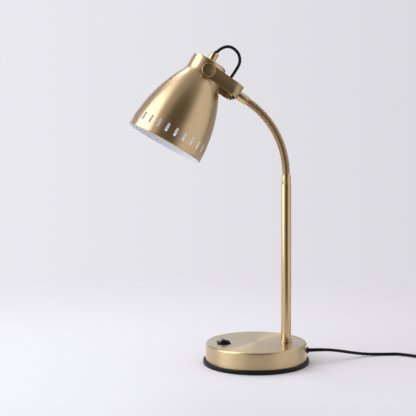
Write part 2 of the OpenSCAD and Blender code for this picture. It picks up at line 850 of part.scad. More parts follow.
module holder_socket() {
    color([0.75, 0.6, 0.3]) head_frame() translate([0, 0, socket_end])
        pipe(socket_r + socket_t, socket_r, socket_top - socket_end);
}

module holder_contact() {
    color([0.8, 0.65, 0.3]) head_frame() translate([0, 0, socket_top])
        cylinder(r = contact_r, h = contact_h);
}

// The cord that goes from the lampholder over the top of the shade and into the neck
module loop_cord() {
    axis = [-sin(shade_tilt), 0, cos(shade_tilt)];
    neck_way = [sin(neck_angle), 0, cos(neck_angle)];
    pivot_at = [pivot_u, 0, pivot_h];
    gland_top = shade_h + gland_h - pivot_s;
    path = concat(
        [for (s = [cap_in - pivot_s, gland_top - 4, gland_top + 1]) pivot_at + axis * s],
        smooth([for (p = loop_route) pivot_at + [p[0], 0, p[1]]], 2),
        [for (s = [bushing_z + bushing_h, plate_out + 0.3])
            pivot_at - neck_way * (yoke_reach - s)]
    );
    color([0.06, 0.06, 0.06]) arm_plane() cord(path, cord_r, [0, 1, 0]);
}

// Power cord

module cord_gland() {
    color([0.06, 0.06, 0.06]) translate([0, 0, exit_z]) rotate([0, 90, 0]) difference() {
        union() {
            translate([0, 0, base_r]) cylinder(r = flange_r, h = flange_t);
            translate([0, 0, shell_in_r - gland_nut_t - 1])
                cylinder(r = gland_neck_r, h = gland_nut_t + shell_t + 2);
        }
        cylinder(r = bore_r, h = base_r + 10);
    }
}

module gland_nut() {
    color([0.1, 0.1, 0.1]) translate([shell_in_r - 0.4 - gland_nut_t, 0, exit_z]) rotate([0, 90, 0])
        hex_nut(gland_nut_flats, gland_neck_r + thread_gap, gland_nut_t);
}

module power_cord() {
    color([0.05, 0.05, 0.05]) cord(smooth(cord_route, 3), cord_r, [0, 0, 1]);
}

module cord_coil() {
    color([0.05, 0.05, 0.05]) translate(coil_at) rotate_extrude()
        round_rect(coil_r - coil_half, 0, coil_out, coil_h, cord_r);
}

module plug_body() {
    color([0.06, 0.06, 0.06]) translate(plug_at) {
        translate([0, 0, plug_h / 2]) rotate([-90, 0, 0]) {
            cylinder(r = cord_r, h = 4);
            translate([0, 0, 3]) cylinder(r1 = cord_r + 0.8, r2 = 4.4, h = plug_tail - 2);
        }
        translate([0, plug_tail, 0]) linear_extrude(plug_h) polygon([
            [-9, 0], [9, 0], [plug_w / 2, 14], [plug_w / 2, plug_l - 3], [plug_w / 2 - 4, plug_l],
            [4 - plug_w / 2, plug_l], [-plug_w / 2, plug_l - 3], [-plug_w / 2, 14]
        ]);
    }
}

module plug_pins() {
    color([0.75, 0.75, 0.77]) for (side = [-1, 1])
        translate(plug_at + [side * pin_gap / 2, plug_tail + plug_l, plug_h / 2])
            rotate([-90, 0, 0]) cylinder(r = pin_r, h = pin_l);
}

foot_ring();
base_shell();
base_weight();
bottom_plate();
plate_screws();
switch_housing();
switch_rocker();
switch_terminals();
base_leads();
pole_nipple();
pole_washer();
pole_nut();
pole_collar();
pole_insert();
pole();
pole_lead();
neck_adapter();
neck_link(1);  // neck_link_01
neck_link(2);  // neck_link_02
neck_link(3);  // neck_link_03
neck_link(4);  // neck_link_04
neck_link(5);  // neck_link_05
neck_link(6);  // neck_link_06
neck_link(7);  // neck_link_07
neck_link(8);  // neck_link_08
neck_link(9);  // neck_link_09
neck_link(10);  // neck_link_10
neck_link(11);  // neck_link_11
neck_link(12);  // neck_link_12
neck_link(13);  // neck_link_13
neck_link(14);  // neck_link_14
neck_ferrule();
neck_lead();
yoke();
yoke_nipple();
yoke_grommet();
yoke_nut();
cord_bushing();
pivot_saddles();
pivot_washers();
pivot_screws();
pivot_nuts();
shade();
cap_gland();
holder_nipple();
holder_cap();
holder_skirt();
holder_insulator();
holder_socket();
holder_contact();
loop_cord();
cord_gland();
gland_nut();
cord_clamp();
power_cord();
cord_coil();
plug_body();
plug_pins();
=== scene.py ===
import math

import bmesh
import bpy
from mathutils import Matrix, Vector


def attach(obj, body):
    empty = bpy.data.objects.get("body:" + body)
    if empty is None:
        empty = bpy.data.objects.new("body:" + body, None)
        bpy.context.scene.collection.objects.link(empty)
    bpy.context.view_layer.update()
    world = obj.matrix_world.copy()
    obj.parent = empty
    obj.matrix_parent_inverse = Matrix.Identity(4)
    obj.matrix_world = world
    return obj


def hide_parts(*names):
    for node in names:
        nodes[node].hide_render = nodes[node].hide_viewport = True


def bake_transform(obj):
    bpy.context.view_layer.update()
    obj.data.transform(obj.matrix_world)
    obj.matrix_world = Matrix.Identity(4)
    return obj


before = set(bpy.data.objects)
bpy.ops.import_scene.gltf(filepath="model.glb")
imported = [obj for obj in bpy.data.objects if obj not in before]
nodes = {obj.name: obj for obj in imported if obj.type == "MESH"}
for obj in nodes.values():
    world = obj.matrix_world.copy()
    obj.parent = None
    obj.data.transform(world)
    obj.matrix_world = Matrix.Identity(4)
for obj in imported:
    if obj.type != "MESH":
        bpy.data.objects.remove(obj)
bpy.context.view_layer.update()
mm = 0.001

# the place in millimetres; the focal length and the centre in pixels of an image this wide
camera = {"place": (-18.9, -1400, 339.4), "focal": 883.75, "centre": (244.2, 147.8), "image": 416,
          "sensor": 36}
lens = bpy.data.cameras.new("camera")
lens.sensor_width = camera["sensor"]
lens.lens = camera["focal"] * camera["sensor"] / camera["image"]
lens.shift_x = (camera["image"] / 2 - camera["centre"][0]) / camera["image"]
lens.shift_y = (camera["centre"][1] - camera["image"] / 2) / camera["image"]
lens.clip_start = 0.01
lens.clip_end = 100
cameraObject = bpy.data.objects.new("camera", lens)
cameraObject.location = Vector(camera["place"]) * mm
cameraObject.rotation_euler = (math.radians(90), 0, 0)
bpy.context.scene.collection.objects.link(cameraObject)
bpy.context.scene.camera = cameraObject
bpy.context.scene.view_settings.view_transform = "Standard"

# where the pole, the neck's arc, the pivot and the head stand; pivotS is the pivot's height over the mouth
arm = {"poleX": 47.5, "turn": 13, "bendR": 137, "neckAngle": 56.5, "neckZ": 296.8, "reach": 83.6,
       "tilt": 29.6, "pivotS": 127.5}


def turnZ(degrees):
    return Matrix.Rotation(math.radians(degrees), 4, "Z")


def turnY(degrees):
    return Matrix.Rotation(math.radians(degrees), 4, "Y")


def turnX(degrees):
    return Matrix.Rotation(math.radians(degrees), 4, "X")


def shift(x, y, z):
    return Matrix.Translation((x, y, z))


armFrame = shift(arm["poleX"], 0, 0) @ turnZ(180 + arm["turn"])


def onNeck(angle):
    return armFrame @ shift(arm["bendR"], 0, arm["neckZ"]) @ turnY(angle) @ shift(-arm["bendR"], 0, 0)


yokeFrame = onNeck(arm["neckAngle"])
pivotPoint = yokeFrame @ Vector((0, 0, arm["reach"]))
headFrame = shift(*pivotPoint) @ turnZ(180 + arm["turn"]) @ turnY(-arm["tilt"]) @ shift(0, 0, -arm["pivotS"])
poleFrame = shift(arm["poleX"], 0, 0)


def addObject(name, mesh, *materials):
    piece = bpy.data.objects.new(name, mesh)
    bpy.context.scene.collection.objects.link(piece)
    for material in materials:
        mesh.materials.append(material)
    return piece


def smooth(mesh, angle=35):
    mesh.polygons.foreach_set("use_smooth", [True] * len(mesh.polygons))
    mesh.set_sharp_from_angle(angle=math.radians(angle))


def applyModifiers(piece):
    bpy.context.view_layer.update()
    evaluated = piece.evaluated_get(bpy.context.evaluated_depsgraph_get())
    mesh = bpy.data.meshes.new_from_object(evaluated)
    old = piece.data
    piece.modifiers.clear()
    piece.data = mesh
    mesh.name = piece.name
    bpy.data.meshes.remove(old)


def seat(piece, body, slotName, *replaced):
    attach(piece, body)
    if replaced:
        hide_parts(*replaced)


def arcPoints(cx, cy, r, a0, a1, steps):
    angles = [math.radians(a0 + (a1 - a0) * i / steps) for i in range(steps + 1)]
    return [(cx + r * math.cos(a), cy + r * math.sin(a)) for a in angles]


def oblong(x0, y0, x1, y1):
    return [(x0, y0), (x1, y0), (x1, y1), (x0, y1)]


def roundCorners(points, radii, steps):
    out = []
    for i, (x, y) in enumerate(points):
        r = radii[i]
        if r <= 0:
            out.append((x, y))
            continue
        here = Vector((x, y))
        back = (Vector(points[i - 1]) - here).normalized()
        ahead = (Vector(points[(i + 1) % len(points)]) - here).normalized()
        half = back.angle(ahead) / 2
        cut = r / math.tan(half)
        middle = here + (back + ahead).normalized() * (r / math.sin(half))
        start, end = here + back * cut - middle, here + ahead * cut - middle
        # slerp gives a direction of length 1
        out += [tuple(middle + start.slerp(end, k / steps) * r) for k in range(steps + 1)]
    return out


def meshFrom(name, form, scale=mm, angle=35):
    bmesh.ops.recalc_face_normals(form, faces=form.faces)
    mesh = bpy.data.meshes.new(name)
    form.to_mesh(mesh)
    form.free()
    mesh.transform(Matrix.Scale(scale, 4))
    smooth(mesh, angle)
    return mesh


def addFace(form, layer, corners, uvs):
    for loop, uv in zip(form.faces.new(corners).loops, uvs):
        loop[layer].uv = uv


def joinRings(form, layer, rings, uvOf):
    # quads from each ring of points to the next; uvOf gives the UV of ring i at corner k
    n = len(rings[0])
    for i in range(len(rings) - 1):
        for k in range(n):
            spots = [(i, k), (i, k + 1), (i + 1, k + 1), (i + 1, k)]
            addFace(form, layer, [rings[a][b % n] for a, b in spots], [uvOf(a, b) for a, b in spots])


def lathe(name, profile, place, segments=96):
    # profile is a list of (radius, height); a radius of 0 is a pole
    form = bmesh.new()
    layer = form.loops.layers.uv.new("UVMap")
    rings, along = [], [0]
    for i, (r, z) in enumerate(profile):
        if i:
            along.append(along[-1] + math.dist(profile[i - 1], profile[i]))
        spots = [2 * math.pi * k / segments for k in range(segments if r > 1e-6 else 1)]
        rings.append([form.verts.new(place @ Vector((r * math.cos(a), r * math.sin(a), z))) for a in spots])
    along.append(along[-1] + math.dist(profile[-1], profile[0]))
    for i, a in enumerate(rings):
        b = rings[(i + 1) % len(rings)]
        va, vb = along[i] * mm, along[i + 1] * mm
        if len(a) == 1 and len(b) == 1:
            continue
        for k in range(segments):
            k1 = (k + 1) % segments
            u0, u1 = k / segments, (k + 1) / segments
            if len(a) == 1:
                addFace(form, layer, [a[0], b[k1], b[k]], [((u0 + u1) / 2, va), (u1, vb), (u0, vb)])
            elif len(b) == 1:
                addFace(form, layer, [a[k], a[k1], b[0]], [(u0, va), (u1, va), ((u0 + u1) / 2, vb)])
            else:
                addFace(form, layer, [a[k], a[k1], b[k1], b[k]], [(u0, va), (u1, va), (u1, vb), (u0, vb)])
    return meshFrom(name, form)


def rod(name, r, low, high, place, segments=48):
    return lathe(name, oblong(0, low, r, high), place, segments)


def prism(name, outline, low, high, place, bevel=0.0, bevelSteps=2):
    # a flat outline in X and Y, raised along Z
    form = bmesh.new()
    bottom = [form.verts.new(Vector((x, y, low))) for x, y in outline]
    top = [form.verts.new(Vector((x, y, high))) for x, y in outline]
    n = len(outline)
    form.faces.new(list(reversed(bottom)))
    form.faces.new(top)
    for i in range(n):
        form.faces.new([bottom[i], bottom[(i + 1) % n], top[(i + 1) % n], top[i]])
    bmesh.ops.recalc_face_normals(form, faces=form.faces)
    if bevel:
        rims = [e for e in form.edges if abs(e.verts[0].co.z - e.verts[1].co.z) < 1e-6]
        bmesh.ops.bevel(form, geom=rims, offset=bevel, segments=bevelSteps, profile=0.5, affect="EDGES")
    bmesh.ops.transform(form, matrix=place, verts=form.verts)
    mesh = meshFrom(name, form)
    layer = mesh.uv_layers.new(name="UVMap")
    for face in mesh.polygons:
        drop = max(range(3), key=lambda axis: abs(face.normal[axis]))
        keep = [axis for axis in range(3) if axis != drop]
        for i in face.loop_indices:
            co = mesh.vertices[mesh.loops[i].vertex_index].co
            layer.data[i].uv = (co[keep[0]], co[keep[1]])
    return mesh


def boxMesh(name, halfX, halfY, low, high, place):
    return prism(name, oblong(-halfX, -halfY, halfX, halfY), low, high, place)


def joinMeshes(name, *meshes):
    form = bmesh.new()
    for mesh in meshes:
        form.from_mesh(mesh)
    joined = meshFrom(name, form, 1)
    for mesh in meshes:
        bpy.data.meshes.remove(mesh)
    return joined


def cutWith(piece, *meshes):
    cutter = addObject(piece.name + "_cutter", joinMeshes("cutter", *meshes))
    modifier = piece.modifiers.new("cut", "BOOLEAN")
    modifier.object = cutter
    modifier.operation = "DIFFERENCE"
    modifier.solver = "EXACT"
    applyModifiers(piece)
    bpy.data.objects.remove(cutter)
    smooth(piece.data)


def smoothPath(points, steps):
    out = []
    for i in range(len(points) - 1):
        a, b = points[max(i - 1, 0)], points[i]
        c, d = points[i + 1], points[min(i + 2, len(points) - 1)]
        for k in range(steps):
            t = k / steps
            out.append(b + (c - a) * (t / 2) + (2 * a - 5 * b + 4 * c - d) * (t * t / 2)
                       + (3 * b - a - 3 * c + d) * (t * t * t / 2))
    out.append(points[-1])
    return out


def pathLength(path):
    return sum((b - a).length for a, b in zip(path, path[1:]))


def tube(name, path, radius, sides=16):
    # path in millimetres; radius is a number or one for each point
    form = bmesh.new()
    layer = form.loops.layers.uv.new("UVMap")
    radii = radius if isinstance(radius, list) else [radius] * len(path)
    side = (path[1] - path[0]).normalized().cross(Vector((0.3, 0.2, 1))).normalized()
    rings, along = [], [0]
    for i, point in enumerate(path):
        heading = (path[min(i + 1, len(path) - 1)] - path[max(i - 1, 0)]).normalized()
        side = (side - heading * side.dot(heading)).normalized()
        up = heading.cross(side)
        if i:
            along.append(along[-1] + (path[i] - path[i - 1]).length)
        turns = [2 * math.pi * k / sides for k in range(sides)]
        rings.append([form.verts.new(point + radii[i] * (side * math.cos(a) + up * math.sin(a)))
                      for a in turns])
    joinRings(form, layer, rings, lambda i, k: (k / sides, along[i] * mm))
    form.faces.new(list(reversed(rings[0])))
    form.faces.new(rings[-1])
    return meshFrom(name, form, angle=50)


print("places and helpers ready")

# materials


def newMaterial(name, colour, metallic, roughness, **sockets):
    material = bpy.data.materials.new(name)
    material.use_nodes = True
    shader = material.node_tree.nodes["Principled BSDF"]
    shader.inputs["Base Color"].default_value = (*colour, 1)
    shader.inputs["Metallic"].default_value = metallic
    shader.inputs["Roughness"].default_value = roughness
    for key, value in sockets.items():
        shader.inputs[key.replace("_", " ")].default_value = value
    return material, material.node_tree.nodes, material.node_tree.links, shader


def calculate(tree, links, operation, *values):
    node = tree.new("ShaderNodeMath")
    node.operation = operation
    for socket, value in zip(node.inputs, values):
        if isinstance(value, (int, float)):
            socket.default_value = value
        else:
            links.new(value, socket)
    return node.outputs["Value"]


def noiseOn(tree, links, vector, scale, detail, stretch=(1, 1, 1)):
    mapping = tree.new("ShaderNodeMapping")
    mapping.inputs["Scale"].default_value = stretch
    noise = tree.new("ShaderNodeTexNoise")
    noise.inputs["Scale"].default_value = scale
    noise.inputs["Detail"].default_value = detail
    links.new(vector, mapping.inputs["Vector"])
    links.new(mapping.outputs["Vector"], noise.inputs["Vector"])
    return noise.outputs["Fac"]


def mapRange(tree, links, value, low, high, fromLow=0.3, fromHigh=0.7, kind="LINEAR"):
    node = tree.new("ShaderNodeMapRange")
    node.interpolation_type = kind
    for label, number in (("From Min", fromLow), ("From Max", fromHigh), ("To Min", low), ("To Max", high)):
        node.inputs[label].default_value = number
    links.new(value, node.inputs["Value"])
    return node.outputs["Result"]


def colourRamp(tree, links, value, low, high, fromLow=0.3, fromHigh=0.7):
    node = tree.new("ShaderNodeValToRGB")
    for stop, place, colour in zip(node.color_ramp.elements, (fromLow, fromHigh), (low, high)):
        stop.position = place
        stop.color = (*colour, 1)
    links.new(value, node.inputs["Fac"])
    return node.outputs["Color"]


def bumpOn(tree, links, shader, height, strength, distance):
    bump = tree.new("ShaderNodeBump")
    bump.inputs["Strength"].default_value = strength
    bump.inputs["Distance"].default_value = distance
    links.new(height, bump.inputs["Height"])
    links.new(bump.outputs["Normal"], shader.inputs["Normal"])


def grainOn(tree, links, shader, fine, low, high, roughness, bump, distance):
    # one noise drives the colour, the roughness and the relief
    links.new(colourRamp(tree, links, fine, low, high), shader.inputs["Base Color"])
    links.new(mapRange(tree, links, fine, *roughness), shader.inputs["Roughness"])
    bumpOn(tree, links, shader, fine, bump, distance)


def brushedMetal(name, colour, dark, roughness, anisotropy, grain=2600.0, around=10.0, bump=0.03, vary=0.14,
                 coat=(0.8, 0.16, 1.5)):
    # scratches run round the piece (U) and lie close together along it (V); coat is weight, roughness, IOR
    material, tree, links, shader = newMaterial(
        name, colour, 1.0, roughness, Anisotropic=anisotropy, Anisotropic_Rotation=0.25,
        Coat_Weight=coat[0], Coat_Roughness=coat[1], Coat_IOR=coat[2])
    uv = tree.new("ShaderNodeUVMap")
    uv.uv_map = "UVMap"
    fine = noiseOn(tree, links, uv.outputs["UV"], 1.0, 3.0, (around, grain, 1))
    broad = noiseOn(tree, links, uv.outputs["UV"], 1.0, 2.0, (around * 0.3, grain * 0.16, 1))
    links.new(colourRamp(tree, links, broad, dark, colour), shader.inputs["Base Color"])
    links.new(mapRange(tree, links, fine, roughness * (1 - vary), roughness * (1 + vary)),
              shader.inputs["Roughness"])
    bumpOn(tree, links, shader, fine, bump, 0.00003)
    tangent = tree.new("ShaderNodeTangent")
    tangent.direction_type = "UV_MAP"
    tangent.uv_map = "UVMap"
    links.new(tangent.outputs["Tangent"], shader.inputs["Tangent"])
    return material


def strapMetal(name, colour, dark, roughness, strapFrame, stretch=(90, 500, 2600), bump=0.05):
    # grain that lies across the strap, in the strap's own frame
    material, tree, links, shader = newMaterial(name, colour, 1.0, roughness,
                                                Coat_Weight=0.4, Coat_Roughness=0.3)
    turned = tree.new("ShaderNodeMapping")
    turned.inputs["Rotation"].default_value = strapFrame.to_3x3().inverted().to_euler()
    links.new(tree.new("ShaderNodeTexCoord").outputs["Object"], turned.inputs["Vector"])
    fine = noiseOn(tree, links, turned.outputs["Vector"], 1.0, 3.0, stretch)
    grainOn(tree, links, shader, fine, dark, colour, (roughness * 0.95, roughness * 1.05), bump, 0.00005)
    return material


def grainedMetal(name, colour, dark, roughness, scale=400.0, bump=0.1):
    material, tree, links, shader = newMaterial(name, colour, 1.0, roughness)
    fine = noiseOn(tree, links, tree.new("ShaderNodeTexCoord").outputs["Object"], scale, 4.0)
    grainOn(tree, links, shader, fine, dark, colour, (roughness * 0.8, roughness * 1.25), bump, 0.0001)
    return material


def plastic(name, colour, light, roughness, scale=1500.0, bump=0.2, distance=0.00005, gloss=0.5):
    material, tree, links, shader = newMaterial(name, colour, 0.0, roughness, Specular_IOR_Level=gloss)
    fine = noiseOn(tree, links, tree.new("ShaderNodeTexCoord").outputs["Object"], scale, 3.0)
    grainOn(tree, links, shader, fine, colour, light, (roughness * 0.85, roughness * 1.15), bump, distance)
    return material


def braid(name, colour, light, around=12.0, pitch=700.0, strength=0.5):
    # two sets of strands that cross on the cord's own UV
    material, tree, links, shader = newMaterial(name, colour, 0.0, 0.5, Specular_IOR_Level=0.2)
    uv = tree.new("ShaderNodeUVMap")
    uv.uv_map = "UVMap"
    mapping = tree.new("ShaderNodeMapping")
    mapping.inputs["Scale"].default_value = (around, pitch, 1)
    links.new(uv.outputs["UV"], mapping.inputs["Vector"])
    split = tree.new("ShaderNodeSeparateXYZ")
    links.new(mapping.outputs["Vector"], split.inputs["Vector"])
    across, along = split.outputs["X"], split.outputs["Y"]
    strands = [calculate(tree, links, "PINGPONG", calculate(tree, links, way, across, along), 0.5)
               for way in ("ADD", "SUBTRACT")]
    both = calculate(tree, links, "MULTIPLY", *strands)
    links.new(colourRamp(tree, links, both, colour, light, 0.0, 0.25), shader.inputs["Base Color"])
    bumpOn(tree, links, shader, both, strength, 0.0002)
    return material


brass = brushedMetal("brushedBrass", (0.62, 0.435, 0.23), (0.575, 0.395, 0.205), 0.3, 0.8,
                     bump=0.005, vary=0.06, coat=(0.65, 0.28, 1.65))
baseBrass = brushedMetal("baseBrass", (0.63, 0.47, 0.26), (0.59, 0.435, 0.235), 0.33, 0.85,
                         coat=(0.7, 0.18, 1.5))
poleBrass = brushedMetal("poleBrass", (0.60, 0.425, 0.22), (0.59, 0.415, 0.215), 0.2, 0.2,
                         around=2.0, bump=0.0, vary=0.02)
yokeBrass = strapMetal("darkBrass", (0.44, 0.31, 0.16), (0.40, 0.28, 0.143), 0.28, yokeFrame, bump=0.004)
rawBrass = grainedMetal("machinedBrass", (0.58, 0.42, 0.17), (0.48, 0.34, 0.13), 0.35)
zincSteel = grainedMetal("zincSteel", (0.52, 0.53, 0.55), (0.42, 0.43, 0.45), 0.4)
ironPaint = plastic("ironPaint", (0.02, 0.02, 0.021), (0.05, 0.05, 0.052), 0.7, 250.0, 0.5, 0.0005)
blackPlastic = plastic("blackPlastic", (0.004, 0.004, 0.0045), (0.008, 0.008, 0.0085), 0.32, gloss=0.35)
rockerPlastic = plastic("rockerPlastic", (0.003, 0.003, 0.0035), (0.006, 0.006, 0.0065), 0.16, 1800.0, 0.05,
                        gloss=0.4)
footRubber = plastic("footRubber", (0.004, 0.004, 0.004), (0.007, 0.0066, 0.0066), 0.38,
                     700.0, 0.1, 0.0001, 0.2)
cordRubber = plastic("cordRubber", (0.004, 0.004, 0.0045), (0.006, 0.006, 0.0065), 0.32,
                     600.0, 0.1, 0.0001, 0.15)
loopBraid = braid("loopBraid", (0.004, 0.004, 0.0045), (0.011, 0.011, 0.0115))
whiteEnamel = plastic("whiteEnamel", (0.80, 0.825, 0.86), (0.83, 0.85, 0.885), 0.45,
                      300.0, 0.02, 0.00005, 0.3)
whiteCeramic = plastic("whiteCeramic", (0.78, 0.76, 0.70), (0.84, 0.82, 0.77), 0.3, 200.0, 0.1)
nylon = plastic("nylon", (0.62, 0.61, 0.56), (0.70, 0.69, 0.64), 0.45)
neckBrass = grainedMetal("neckBrass", (0.60, 0.41, 0.21), (0.57, 0.385, 0.195), 0.2, 600.0, 0.001)
# painted shade: a near-black brown on the sleeve between the ribs, standing in for the shade in the grooves
paintedGrooveShade = grainedMetal("paintedGrooveShade", (0.06, 0.04, 0.02), (0.04, 0.027, 0.014), 0.5, 600.0, 0.002)

finishes = [
    (brass, ["shade"]),
    (baseBrass, ["base_shell"]),
    (poleBrass, ["pole_collar", "pole", "neck_adapter", "neck_ferrule", "cap_gland"]),
    (yokeBrass, ["yoke", "yoke_nipple", "yoke_nut", "pivot_screws"]),
    (rawBrass, ["switch_terminals", "pole_nipple", "pole_nut", "pole_insert", "pivot_saddles", "pivot_nuts",
                "holder_nipple", "holder_socket", "holder_contact"]),
    (zincSteel, ["bottom_plate", "plate_screws", "pole_washer", "cord_clamp", "plug_pins"]),
    (ironPaint, ["base_weight"]),
    (footRubber, ["foot_ring"]),
    (blackPlastic, ["switch_housing", "yoke_grommet", "cord_bushing", "holder_cap", "holder_skirt",
                    "cord_gland", "gland_nut", "plug_body"]),
    (rockerPlastic, ["switch_rocker"]),
    (cordRubber, ["base_leads", "pole_lead", "neck_lead", "power_cord", "cord_coil"]),
    (loopBraid, ["loop_cord"]),
    (nylon, ["pivot_washers"]),
    (whiteCeramic, ["holder_insulator"]),
]
finishOf = {name: material for material, names in finishes for name in names}
for name, node in nodes.items():
    node.data.materials.clear()
    node.data.materials.append(neckBrass if name.startswith("neck_link") else finishOf[name])
print("materials ready")

# power cord: from the base along the floor into a flat coil, and up to the plug beside it
cordSize = {
    "r": 2.4, "baseR": 80, "exitZ": 19, "layZ": 2.5, "way": (11.3, -7.36, 0),
    # distance from the base's side, distance from the middle line, share of the exit's height
    "places": [(3, 0, 1), (6, 0, 1), (22, 2, 1), (40, 9, 0.88), (58, 18, 0.64), (78, 29, 0.33),
               (100, 38, 0.09), (124, 43, 0), (150, 44, 0), (164, 38.5, 0), (176, 30.4, 0),
               (187.3, 23.04, 0)],
    "coilR": 28.8, "beside": 5, "gap": 0.3, "perTurn": 36, "shift": 150, "bulge": 1.0,
    "reliefL": 24, "reliefR": 2.95, "reliefEnd": 0.15,
}
plugSize = {
    "w": 35.3, "h": 13.7, "l": 33, "edge": 1.6, "neckHalf": 9, "shoulder": 14, "corners": (3, 3, 5, 3, 3, 5),
    "tail": 12, "tailR": 3.2, "tailEnd": 4.4, "ribs": 4, "ribPitch": 2.6, "ribGrow": 0.3,
    "rib": [(0.1, 0), (0.2, 1.4), (-0.4, 1.7), (-0.35, 2.3)], "ribFrom": 1.2,
}
c = cordSize
wire = 2 * c["r"]
route = smoothPath([Vector((c["baseR"] + x, y, c["layZ"] + share * (c["exitZ"] - c["layZ"])))
                    for x, y, share in c["places"]], 5)
cordWay = Vector(c["way"]).normalized()
cordLeft = Vector((-cordWay.y, cordWay.x, 0))
coilOut = c["coilR"] + c["beside"] * c["r"]
turnOut = coilOut - c["r"]
coilAlong = math.sqrt((coilOut + c["gap"]) ** 2 - (turnOut - c["r"]) ** 2)
coilMid = route[-1] + cordWay * coilAlong + cordLeft * turnOut
lanes = [(turnOut - wire * k, c["r"]) for k in range(c["beside"])]
lanes += [(r, z + wire) for r, z in lanes[::-1]]  # the second layer goes out again
startAngle = math.degrees(math.atan2(-cordLeft.y, -cordLeft.x)) % 360
coil = []
lastSteps = round((360 - startAngle) / 360 * c["perTurn"])
for i, (r0, z0) in enumerate(lanes):
    steps = c["perTurn"] if i < len(lanes) - 1 else lastSteps + 1
    r1, z1 = lanes[min(i + 1, len(lanes) - 1)]
    for k in range(steps):
        turned = 360 * k / c["perTurn"]
        t = max(0.0, (turned - 360 + c["shift"]) / c["shift"])
        t = (1 - math.cos(math.pi * t)) / 2
        r, z = r0 + (r1 - r0) * t, z0 + (z1 - z0) * t
        if z1 != z0:
            r -= c["bulge"] * 4 * t * (1 - t)
        angle = math.radians(startAngle + turned)
        coil.append(Vector((coilMid.x + r * math.cos(angle), coilMid.y + r * math.sin(angle), z)))
straight = [route[-1] + cordWay * coilAlong * k / 4 + Vector((0, 0, (c["r"] - c["layZ"]) * k / 4))
            for k in range(1, 4)]
plugY = math.sqrt(coilOut ** 2 - (turnOut - c["r"]) ** 2) + c["gap"]
plugPlace = Vector((coilMid.x + turnOut, coilMid.y + plugY, plugSize["h"] / 2))
rise = plugPlace.z - coil[-1].z
lead = [Vector((coil[-1].x, coilMid.y + plugY * k / 4, coil[-1].z + rise * k / 4)) for k in range(1, 5)]
lead.append(lead[-1] + Vector((0, 3, 0)))
cordPath = route + straight + coil + lead
powerCord = addObject("powerCord", tube("powerCord", cordPath, c["r"], 16), cordRubber)
seat(powerCord, "stand", "power_cord", "power_cord", "cord_coil")

reliefPath = [point for point in route if point.x <= route[0].x + c["reliefL"]]
reliefRadii = [c["reliefR"] + (c["r"] + c["reliefEnd"] - c["reliefR"]) * (point.x - route[0].x) / c["reliefL"]
               for point in reliefPath]
relief = addObject("strainRelief", tube("strainRelief", reliefPath, reliefRadii, 24), cordRubber)
seat(relief, "stand", "cord_gland")

q = plugSize
plugSide, plugEnd, waist = q["w"] / 2, q["tail"] + q["l"], q["tail"] + q["shoulder"]
plugOutline = roundCorners([
    (-q["neckHalf"], q["tail"]), (q["neckHalf"], q["tail"]), (plugSide, waist), (plugSide, plugEnd),
    (-plugSide, plugEnd), (-plugSide, waist)
], q["corners"], 6)
tailProfile = [(0, 0), (q["tailR"], 0)]
for k in range(q["ribs"]):
    tailProfile += [(q["tailR"] + q["ribGrow"] * k + out, q["ribFrom"] + q["ribPitch"] * k + up)
                    for out, up in q["rib"]]
tailProfile += [(q["tailEnd"], q["tail"] + 1), (0, q["tail"] + 1)]
plug = addObject("plugBody", joinMeshes(
    "plugBody",
    prism("a", plugOutline, 0, q["h"], shift(plugPlace.x, plugPlace.y, 0), q["edge"], 4),
    lathe("b", tailProfile, shift(*plugPlace) @ turnX(-90), 40),
), blackPlastic)
seat(plug, "stand", "plug_body", "plug_body")

# loop cord: out of the shade's gland, over the back of the cap and into the yoke
loopSize = {
    "r": 2.4,
    "start": (144.2, 150, 157.7, 162.7),  # heights over the shade's mouth
    "end": (33.1, 21.9),  # heights over the ferrule's foot
    # the pivot in the arm's plane, and points outwards and upwards from it
    "pivot": (131.10, 457.18),
    "route": [(-20.3, 31.9), (-24.3, 35.4), (-30.7, 38.7), (-37, 40), (-43.6, 38.6), (-49.6, 34.4),
              (-54.1, 28.3), (-55.9, 21.1), (-55.3, 14.6), (-53, 9.3), (-48.2, 1.4), (-42.3, -7.4),
              (-37.4, -14.7), (-36.2, -20.7), (-38.8, -25.6)],
    "headPoint": 20, "yokePoint": -12,  # points of the path on the head's side and on the yoke's side
}
pivotX, pivotZ = loopSize["pivot"]
loopPath = smoothPath(
    [headFrame @ Vector((0, 0, z)) for z in loopSize["start"]]
    + [armFrame @ Vector((pivotX + x, 0, pivotZ + z)) for x, z in loopSize["route"]]
    + [yokeFrame @ Vector((0, 0, z)) for z in loopSize["end"]], 6)
loopCord = addObject("loopCord", tube("loopCord", loopPath, loopSize["r"], 20), loopBraid)
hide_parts("loop_cord")
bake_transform(loopCord)
print("cords ready: %.0f and %.0f mm" % (pathLength(cordPath), pathLength(loopPath)))

